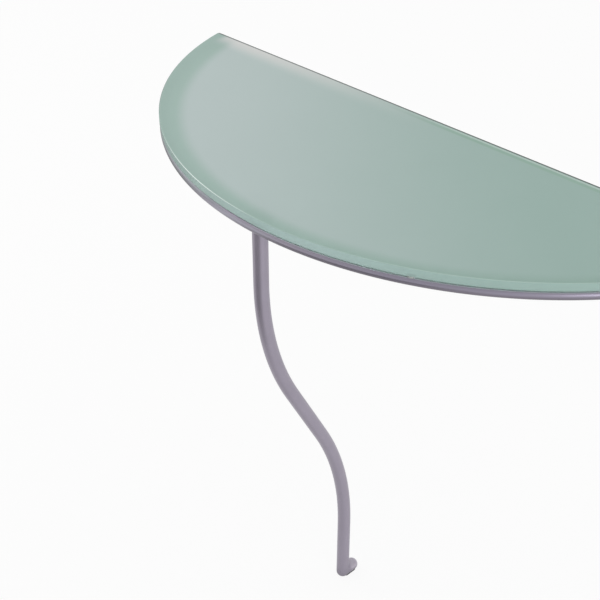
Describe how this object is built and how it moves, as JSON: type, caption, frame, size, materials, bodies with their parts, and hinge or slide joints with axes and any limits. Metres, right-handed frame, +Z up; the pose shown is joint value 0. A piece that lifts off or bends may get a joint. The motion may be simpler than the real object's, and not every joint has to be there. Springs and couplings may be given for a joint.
{
  "type": "demilune wall table",
  "caption": "Half-round console table fixed to a wall: satin green glass top on a bent rim bar, carried by wall plates and an S-shaped leg with a round toe.",
  "frame": {"origin": "on the floor, below the middle of the bounding box: half the width along the wall and half the depth out from the wall", "axes": "+X along the wall to the right as seen from the room, +Y square to the wall and pointing at it, +Z up"},
  "size_m": [0.998, 0.382, 0.79],
  "materials": {
    "satin_glass": "acid-etched green float glass with flat polished edges",
    "clear_pad": "clear soft polyurethane",
    "satin_coat": "satin mauve-grey metallic powder coat",
    "plated_steel": "bright zinc plate",
    "dark_rubber": "matt moulded rubber"
  },
  "bodies": {
    "root": {"glass_top": "satin_glass", "glass_bumpers": "clear_pad", "rim_bar": "satin_coat", "wall_plate_left": "satin_coat", "wall_plate_right": "satin_coat", "leg_lug": "satin_coat", "leg_bar": "satin_coat", "leg_washer": "plated_steel", "leg_screw": "plated_steel", "foot_pad": "dark_rubber"}
  },
  "joints": []
}
